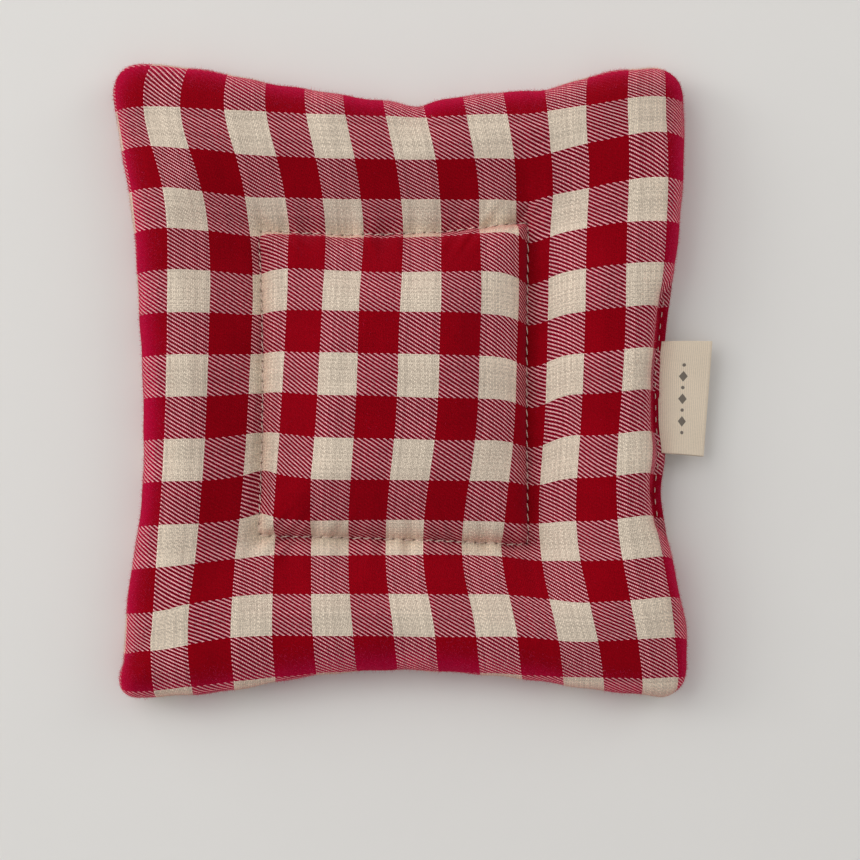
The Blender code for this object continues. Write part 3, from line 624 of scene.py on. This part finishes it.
def buildLabel():
    # outer and inner skin as one closed section, with both ends closed by a strip
    outer, flat = labelSurface(label["layer"] / 2)
    inner, _ = labelSurface(-label["layer"] / 2)
    steps = outer.shape[1]
    section = np.concatenate((outer, inner[:, ::-1]), axis=1)
    places = np.concatenate((flat, flat[:, ::-1]), axis=1)
    quads = quadGrid(len(section), 2 * steps)
    step = np.arange(steps - 1)
    first = np.column_stack((step + 1, step, 2 * steps - 1 - step, 2 * steps - 2 - step))
    last = first[:, ::-1] + (len(section) - 1) * 2 * steps
    return makePiece("label_folded", section.reshape(-1, 3), np.concatenate((quads, first, last)),
                     cloth=places.reshape(-1, 2))


labelPiece = buildLabel()
print("label built:", len(labelPiece.data.polygons), "faces")


# Nap: short loose fibres of the brushed cloth, most of them round the rim

nap = dict(
    seed=7, rimFibres=45000, faceFibres=2000, shortest=0.3, longest=1.3, radius=0.019,
    lean=0.9, leastRise=0.25, rooted=0.03, looseShare=0.6, sheenTint=(1.0, 0.3, 0.4, 1.0))


def buildNap():
    # thin three-sided spikes: a root triangle across the fibre's direction and one far tip
    draw = np.random.default_rng(nap["seed"])
    total = nap["rimFibres"] + nap["faceFibres"]
    rimRing = (12 * draw.random(nap["rimFibres"]) ** 2).astype(int)
    faceRing = draw.integers(11, len(upper) - 4, nap["faceFibres"])
    ringIndex = np.concatenate((rimRing, faceRing))
    stepIndex = draw.integers(0, count, total)
    share = draw.random((total, 2, 1))
    beside, below = (stepIndex + 1) % count, ringIndex + 1

    def blended(grid):
        near = grid[ringIndex, stepIndex] * (1 - share[:, 0]) + grid[ringIndex, beside] * share[:, 0]
        far = grid[below, stepIndex] * (1 - share[:, 0]) + grid[below, beside] * share[:, 0]
        return near * (1 - share[:, 1]) + far * share[:, 1]

    root, place = blended(upper), blended(upperCloth)
    normal = np.cross(upper[ringIndex, beside] - upper[ringIndex, stepIndex],
                      upper[below, stepIndex] - upper[ringIndex, stepIndex])
    normal = unit(normal) * np.where(normal[:, 2:] < 0, -1, 1)
    aim = normal + draw.normal(0, nap["lean"], (total, 3))
    aim = unit(aim + normal * np.clip(nap["leastRise"] - (aim * normal).sum(1, keepdims=True), 0, None))
    length = draw.uniform(nap["shortest"], nap["longest"], (total, 1)) * draw.random((total, 1)) ** 0.5
    aside = unit(np.cross(aim, (0.31, 0.52, 0.79)))
    above = np.cross(aim, aside)
    base = root - normal * nap["rooted"]
    corners = [base + nap["radius"] * (aside * math.cos(turn) + above * math.sin(turn))
               for turn in (0.0, 2 * math.pi / 3, 4 * math.pi / 3)]
    points = np.stack(corners + [base + aim * length], axis=1).reshape(-1, 3)
    shift = np.arange(total)[:, None, None] * 4
    triangles = (np.array(((0, 2, 1), (0, 1, 3), (1, 2, 3), (2, 0, 3))) + shift).reshape(-1, 3)
    return makePiece("pad_nap", points, np.zeros((0, 4), int), triangles, np.repeat(place, 4, axis=0))


napPiece = buildNap()
print("nap built:", len(napPiece.data.polygons), "faces")


# Materials

def addNode(tree, kind, **values):
    # a new node with its settings, such as operation or data_type
    node = tree.nodes.new(kind)
    for title, value in values.items():
        setattr(node, title, value)
    return node


def treeOf(*sources):
    # the node tree of the first socket among some values
    return next(source.id_data for source in sources if isinstance(source, bpy.types.NodeSocket))


def feed(socket, source):
    # set a socket to a number, or link it to another socket
    if isinstance(source, bpy.types.NodeSocket):
        socket.id_data.links.new(source, socket)
    else:
        socket.default_value = source


def calc(operation, *sources):
    # one sum on numbers or sockets
    node = addNode(treeOf(*sources), "ShaderNodeMath", operation=operation)
    for socket, source in zip(node.inputs, sources):
        feed(socket, source)
    return node.outputs[0]


def plus(first, second):
    return calc("ADD", first, second)


def minus(first, second):
    return calc("SUBTRACT", first, second)


def times(first, second):
    return calc("MULTIPLY", first, second)


def ridges(run, pitch):
    # |sin(pi * run / pitch)|: 0 in the valleys and 1 on the ridges
    return calc("ABSOLUTE", calc("SINE", times(run, math.pi / pitch)))


def blend(share, first, second):
    # (1 - share) * first + share * second, for colours
    node = addNode(treeOf(share, first, second), "ShaderNodeMix", data_type="RGBA")
    feed(node.inputs["Factor"], share)
    feed(node.inputs["A"], first)
    feed(node.inputs["B"], second)
    return node.outputs["Result"]


def noise(vector, scale, detail=2.0, roughness=0.5):
    node = addNode(vector.id_data, "ShaderNodeTexNoise")
    feed(node.inputs["Vector"], vector)
    node.inputs["Scale"].default_value = scale
    node.inputs["Detail"].default_value = detail
    node.inputs["Roughness"].default_value = roughness
    return node.outputs["Fac"]


def newGroup(name, inputs, outputs):
    # an empty group with its named sockets
    group = bpy.data.node_groups.new(name, "ShaderNodeTree")
    for title, kind in inputs:
        group.interface.new_socket(name=title, in_out="INPUT", socket_type="NodeSocket" + kind)
    for title, kind in outputs:
        group.interface.new_socket(name=title, in_out="OUTPUT", socket_type="NodeSocket" + kind)
    return group, addNode(group, "NodeGroupInput").outputs, addNode(group, "NodeGroupOutput").inputs


def placeGroup(tree, group, **values):
    # a group's node with its inputs fed by title
    node = addNode(tree, "ShaderNodeGroup", node_tree=group)
    for title, value in values.items():
        feed(node.inputs[title], value)
    return node.outputs


weave = dict(checkWidth=9.4 * mm, checkHeight=9.7 * mm, warpPitch=0.375 * mm, weftPitch=0.23 * mm,
             gapFrom=0.44, floatWidth=0.178)


def twillGroup():
    # gingham twill: threads are numbered along u and v, each is cream or red by its check, and the
    # warp lies on top where the fraction of (warp number + weft number) / 4 is under a half. The
    # height of a thread is 1 - 4 * (offset from its middle)^2
    group, given, out = newGroup(
        "ginghamTwill", (("Cloth", "Vector"), ("Wander", "Float")),
        (("Cream", "Float"), ("Halftone", "Float"), ("Height", "Float"), ("Shade", "Float")))
    split = addNode(group, "ShaderNodeSeparateXYZ")
    feed(split.inputs[0], given["Cloth"])
    bends = []
    for turn, scale in ((0, 260.0), (1, 310.0)):
        place = addNode(group, "ShaderNodeMapping")
        feed(place.inputs["Vector"], given["Cloth"])
        place.inputs["Location"].default_value = (0.13 * turn, 0.07, 0.31 * turn)
        bend = minus(noise(place.outputs[0], scale), 0.5)
        bends.append(times(bend, given["Wander"]))
    u = plus(split.outputs[0], bends[0])
    v = plus(split.outputs[1], bends[1])
    countU = calc("DIVIDE", u, weave["warpPitch"])
    countV = calc("DIVIDE", v, weave["weftPitch"])
    warpNumber, weftNumber = calc("FLOOR", countU), calc("FLOOR", countV)
    acrossWarp = minus(minus(countU, warpNumber), 0.5)
    acrossWeft = minus(minus(countV, weftNumber), 0.5)
    creams = []
    for number, pitch, check in ((warpNumber, weave["warpPitch"], weave["checkWidth"]),
                                 (weftNumber, weave["weftPitch"], weave["checkHeight"])):
        place = times(plus(number, 0.5), pitch / (2 * check))
        creams.append(calc("LESS_THAN", calc("FRACT", place), 0.5))
    step = times(plus(warpNumber, weftNumber), 0.25)
    over = calc("LESS_THAN", calc("FRACT", plus(step, 0.01)), 0.5)
    difference = minus(creams[0], creams[1])
    halftone = calc("ABSOLUTE", difference)
    cream = plus(creams[1], times(over, difference))
    across = plus(acrossWeft, times(over, minus(acrossWarp, acrossWeft)))
    gap = calc("GREATER_THAN", calc("ABSOLUTE", across), weave["gapFrom"])
    slope = times(plus(countU, countV), 0.25)
    middle = minus(slope, minus(0.375, times(over, 0.5)))
    fromFloat = calc("ABSOLUTE", minus(calc("FRACT", middle), 0.5))
    covered = calc("MAXIMUM", gap, calc("GREATER_THAN", fromFloat, weave["floatWidth"]))
    kept = minus(1.0, times(covered, halftone))
    feed(out["Cream"], times(cream, kept))
    feed(out["Halftone"], halftone)
    warpHeight, weftHeight = (
        minus(1.0, times(4.0, calc("POWER", across, 2.0)))
        for across in (acrossWarp, acrossWeft))
    lift = times(over, minus(warpHeight, weftHeight))
    feed(out["Height"], plus(weftHeight, lift))
    shades = []
    for number, start in ((warpNumber, 3.7), (weftNumber, 91.3)):
        streak = addNode(group, "ShaderNodeTexWhiteNoise", noise_dimensions="1D")
        feed(streak.inputs["W"], plus(number, start))
        shades.append(streak.outputs["Value"])
    change = times(over, minus(shades[0], shades[1]))
    feed(out["Shade"], plus(shades[1], change))
    return group


def fuzzGroup():
    # soft uneven brightness and fine fibres: Shade is about 1 and Height about a half
    group, given, out = newGroup(
        "clothFuzz", (("Vector", "Vector"), ("Broad", "Float"), ("Fine", "Float")),
        (("Shade", "Float"), ("Height", "Float")))
    broad = minus(noise(given["Vector"], 90.0, 3.0), 0.5)
    fine = minus(noise(given["Vector"], 3600.0, 2.0, 0.7), 0.5)
    uneven = plus(times(broad, given["Broad"]), times(fine, given["Fine"]))
    feed(out["Shade"], plus(1.0, uneven))
    feed(out["Height"], plus(fine, 0.5))
    return group


twill, fuzz = twillGroup(), fuzzGroup()
white = (1.0, 1.0, 1.0, 1.0)


def newMaterial(name, roughness, sheen, sheenTint=white):
    # a matte cloth with sheen
    material = bpy.data.materials.new(name)
    material.use_nodes = True
    tree = material.node_tree
    tree.nodes.clear()
    shader = addNode(tree, "ShaderNodeBsdfPrincipled")
    shader.inputs["Roughness"].default_value = roughness
    shader.inputs["Sheen Weight"].default_value = sheen
    shader.inputs["Sheen Roughness"].default_value = 0.4
    shader.inputs["Sheen Tint"].default_value = sheenTint
    shader.inputs["Specular IOR Level"].default_value = 0.03
    feed(addNode(tree, "ShaderNodeOutputMaterial").inputs["Surface"], shader.outputs[0])
    return material, tree, shader


def scaled(colour, share):
    # colour * share
    node = addNode(treeOf(colour, share), "ShaderNodeVectorMath", operation="SCALE")
    feed(node.inputs[0], colour)
    feed(node.inputs["Scale"], share)
    return node.outputs[0]


def bump(shader, height, distance):
    # small relief that only turns the normals
    node = addNode(shader.id_data, "ShaderNodeBump")
    node.inputs["Distance"].default_value = distance
    node.inputs["Strength"].default_value = 1.0
    feed(node.inputs["Height"], height)
    feed(shader.inputs["Normal"], node.outputs[0])


def clothMap(tree):
    return addNode(tree, "ShaderNodeUVMap", uv_map="cloth").outputs[0]


def mark(tree, title):
    return addNode(tree, "ShaderNodeAttribute", attribute_name=title).outputs["Fac"]


def surfaceFuzz(tree, broad, fine):
    # the fuzz group on Object coordinates
    place = addNode(tree, "ShaderNodeTexCoord").outputs["Object"]
    return placeGroup(tree, fuzz, Vector=place, Broad=broad, Fine=fine)


flannel = dict(
    cream=(0.742, 0.626, 0.493, 1.0), pink=(0.82, 0.41, 0.43, 1.0), red=(0.28, 0.0002, 0.005, 1.0),
    deepRed=(0.215, 0.0006, 0.010, 1.0),
    # the near-black colour for the needle holes is painted shade
    holeShade=(0.04, 0.01, 0.01, 1.0), redNap=(0.95, 0.06, 0.22, 1.0), paleNap=(0.85, 0.60, 0.50, 1.0),
    # the brighter red at the rim is a painted sheen
    sheen=0.75, sheenTint=(1.0, 0.05, 0.12, 1.0), rimSheenRed=(0.45, 0.0004, 0.036, 1.0),
    # the tint along the quilting thread is painted shade of the channel
    channelShadeTint=(0.93, 0.90, 0.85, 1.0), wander=0.14 * mm, bumpDepth=0.10 * mm,
    # the darkening by thread height is painted shade between the threads; the streaks are the threads'
    # own tone
    streak=0.40, gap=0.75, unshadedHeight=0.67,
    redShare=0.30)                      # how much of the thread streaks and of the painted shade between threads shows in the red squares


def clothColour(tree, cloth, fuzzShare, rim=0.0):
    # cream, red, or the pinkish cream of a thread between red ones, each thread of its own tone, with
    # painted shade where the threads lie low and a painted sheen on the reds near the rim
    threads = placeGroup(tree, twill, Cloth=cloth, Wander=flannel["wander"])
    pale = blend(threads["Halftone"], flannel["cream"], flannel["pink"])
    dark = blend(threads["Halftone"], flannel["red"], flannel["deepRed"])
    # painted sheen: the reds turn brighter crimson towards the rim
    dark = blend(rim, dark, flannel["rimSheenRed"])
    colour = blend(threads["Cream"], dark, pale)
    streaks = times(minus(threads["Shade"], 0.5), flannel["streak"])
    # painted shade: each thread darker towards its low edges, so the weave's hollows look shaded
    gapShade = times(minus(threads["Height"], flannel["unshadedHeight"]), flannel["gap"])
    plain = calc("MAXIMUM", threads["Cream"], threads["Halftone"])
    seen = plus(times(plain, 1 - flannel["redShare"]), flannel["redShare"])
    shade = plus(1.0, times(seen, plus(streaks, gapShade)))
    return scaled(colour, times(shade, fuzzShare)), threads


def flannelMaterial():
    # the checks, with a painted sheen brightening the reds at the rim, painted shade along the thread
    # and painted shade in the needle holes
    material, tree, shader = newMaterial(
        "gingham_flannel", 0.95, flannel["sheen"], flannel["sheenTint"])
    surface = surfaceFuzz(tree, 0.3, 0.9)
    colour, threads = clothColour(tree, clothMap(tree), surface["Shade"], mark(tree, "rim"))
    # painted shade: the cloth along the quilting thread made darker and browner
    channelShade = blend(mark(tree, "fold"), white, flannel["channelShadeTint"])
    channelShaded = addNode(tree, "ShaderNodeVectorMath", operation="MULTIPLY")
    feed(channelShaded.inputs[0], colour)
    feed(channelShaded.inputs[1], channelShade)
    # painted shade: the needle holes darkened towards a near-black colour
    holeShaded = blend(mark(tree, "holeShade"), channelShaded.outputs[0], flannel["holeShade"])
    feed(shader.inputs["Base Color"], holeShaded)
    height = plus(times(threads["Height"], 0.6), surface["Height"])
    bump(shader, height, flannel["bumpDepth"])
    return material


def napMaterial():
    # the colour of the cloth under each fibre, mixed with the paler colour of loose ones
    material, tree, shader = newMaterial("gingham_nap", 0.9, 0.1, nap["sheenTint"])
    colour, threads = clothColour(tree, clothMap(tree), surfaceFuzz(tree, 0.3, 0.2)["Shade"])
    loose = blend(threads["Cream"], flannel["redNap"], flannel["paleNap"])
    feed(shader.inputs["Base Color"], blend(nap["looseShare"], colour, loose))
    return material


def threadMaterial():
    # plies as ridges that wind round: |sin(pi * (length / ply length + turn))|
    material, tree, shader = newMaterial("quilting_cotton", 0.75, 0.2)
    split = addNode(tree, "ShaderNodeSeparateXYZ")
    feed(split.inputs[0], clothMap(tree))
    lengthwise = times(split.outputs[0], 1 / (thread["plyLength"] * mm))
    turns = plus(lengthwise, times(split.outputs[1], 1 / mm))
    ply = ridges(turns, 1)
    lit = plus(1 - thread["plyShade"], times(ply, thread["plyShade"]))
    shade = times(surfaceFuzz(tree, 0.3, 0.4)["Shade"], lit)
    feed(shader.inputs["Base Color"], scaled(thread["colour"], shade))
    bump(shader, ply, thread["plyDepth"] * mm)
    return material


tape = dict(
    colour=(0.85, 0.71, 0.55), ink=(0.10, 0.085, 0.075, 1.0), inkShare=0.85,
    rib=label["rib"] * mm, pick=0.30 * mm, reliefShade=0.24, reliefDepth=0.07 * mm,
    ornament=5.2 * mm, ornamentFrom=5.0 * mm, ornamentTo=20.9 * mm, ornamentAcross=5.6 * mm,
    ornamentSpare=0.6 * mm, lozengeHalf=1.0 * mm, dotHalf=0.4 * mm)


def tapeMaterial():
    # ribs of tightly woven cotton, with a row of plain lozenges and dots down the middle: a
    # lozenge where |along| + |across| < 1, and a dot where along^2 + across^2 < 1
    material, tree, shader = newMaterial("ribbed_tape", 0.9, 0.2)
    split = addNode(tree, "ShaderNodeSeparateXYZ")
    feed(split.inputs[0], clothMap(tree))
    u, v = split.outputs[0], split.outputs[1]
    relief = plus(times(ridges(v, tape["rib"]), 0.75), times(ridges(u, tape["pick"]), 0.25))
    lit = plus(0.80, times(relief, tape["reliefShade"]))
    shade = times(surfaceFuzz(tree, 0.2, 0.3)["Shade"], lit)
    middle = calc("ABSOLUTE", minus(v, tape["ornamentAcross"]))
    turn = calc("FRACT", calc("DIVIDE", minus(u, tape["ornamentFrom"]), tape["ornament"]))
    fromCentre = calc("ABSOLUTE", minus(turn, 0.5))
    lozenge = plus(times(fromCentre, 4.2), times(middle, 1 / tape["lozengeHalf"]))
    fromEnd = times(minus(0.5, fromCentre), 13.0)
    across = times(middle, 1 / tape["dotHalf"])
    dot = plus(calc("POWER", fromEnd, 2.0), calc("POWER", across, 2.0))
    lozenge, dot = (calc("LESS_THAN", form, 1.0) for form in (lozenge, dot))
    after = calc("GREATER_THAN", u, tape["ornamentFrom"] - tape["ornamentSpare"])
    before = calc("LESS_THAN", u, tape["ornamentTo"] + tape["ornamentSpare"])
    within = times(times(after, before), tape["inkShare"])
    marks = times(calc("MAXIMUM", lozenge, dot), within)
    colour = scaled(tape["colour"], shade)
    feed(shader.inputs["Base Color"], blend(marks, colour, tape["ink"]))
    bump(shader, relief, tape["reliefDepth"])
    return material


padPiece.data.materials.append(flannelMaterial())
napPiece.data.materials.append(napMaterial())
threadPiece.data.materials.append(threadMaterial())
labelPiece.data.materials.append(tapeMaterial())
print("materials done")


# Floor, light and camera

studio = dict(
    floorColour=(0.80, 0.775, 0.74), floorSize=3000.0,
    windowPlace=(-900.0, 400.0, 690.0), windowSize=1450.0, windowPower=9.6,
    lampPlace=(-1350.0, 400.0, 660.0), lampSize=450.0, lampPower=3.4,
    fillPlace=(800.0, 450.0, 480.0), fillSize=600.0, fillPower=1.9,
    worldColour=(0.97, 0.985, 1.0, 1.0), worldStrength=0.475,
    cameraTarget=(7.35, -12.45, 6.0), cameraDistance=500.0, cameraHeight=84.0, lens=91.42)


def buildFloor():
    # one large plain square at the height of the underside
    half = studio["floorSize"] / 2
    points = np.array(((-half, -half, 0), (half, -half, 0), (half, half, 0), (-half, half, 0)), float)
    floor = makePiece("floor", points, np.array(((0, 1, 2, 3),)))
    material, tree, shader = newMaterial("plain_floor", 0.8, 0.0)
    shade = surfaceFuzz(tree, 0.015, 0.01)["Shade"]
    feed(shader.inputs["Base Color"], scaled(studio["floorColour"], shade))
    floor.data.materials.append(material)


def buildLight():
    # square lamps that all face the coaster, and a soft world
    for name in ("window", "lamp", "fill"):
        lamp = bpy.data.lights.new(name + "_light", "AREA")
        lamp.shape = "SQUARE"
        lamp.size = studio[name + "Size"] * mm
        lamp.energy = studio[name + "Power"]
        holder = bpy.data.objects.new(name + "_light", lamp)
        x, y, z = studio[name + "Place"]
        holder.location = (x * mm, y * mm, z * mm)
        holder.rotation_euler = (math.atan2(math.hypot(x, y), z), 0, math.atan2(-x, y) + math.pi)
        bpy.context.scene.collection.objects.link(holder)
    world = bpy.data.worlds.new("studio")
    world.use_nodes = True
    background = world.node_tree.nodes["Background"]
    background.inputs["Color"].default_value = studio["worldColour"]
    background.inputs["Strength"].default_value = studio["worldStrength"]
    bpy.context.scene.world = world


def buildCamera():
    # looks at the target from the front side, steeply from above
    camera = bpy.data.cameras.new("camera")
    camera.lens, camera.sensor_width = studio["lens"], 36.0
    camera.clip_start = 0.01
    holder = bpy.data.objects.new("camera", camera)
    height = math.radians(studio["cameraHeight"])
    x, y, z = studio["cameraTarget"]
    y = y - studio["cameraDistance"] * math.cos(height)
    z = z + studio["cameraDistance"] * math.sin(height)
    holder.location = (x * mm, y * mm, z * mm)
    holder.rotation_euler = (math.pi / 2 - height, 0, 0)
    bpy.context.scene.collection.objects.link(holder)
    bpy.context.scene.camera = holder
    bpy.context.scene.view_settings.view_transform = "Standard"


buildFloor()
buildLight()
buildCamera()


# Links to the frame

for piece in (padPiece, napPiece, threadPiece, labelPiece):
    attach(piece, "root")
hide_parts("pad")
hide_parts("label")
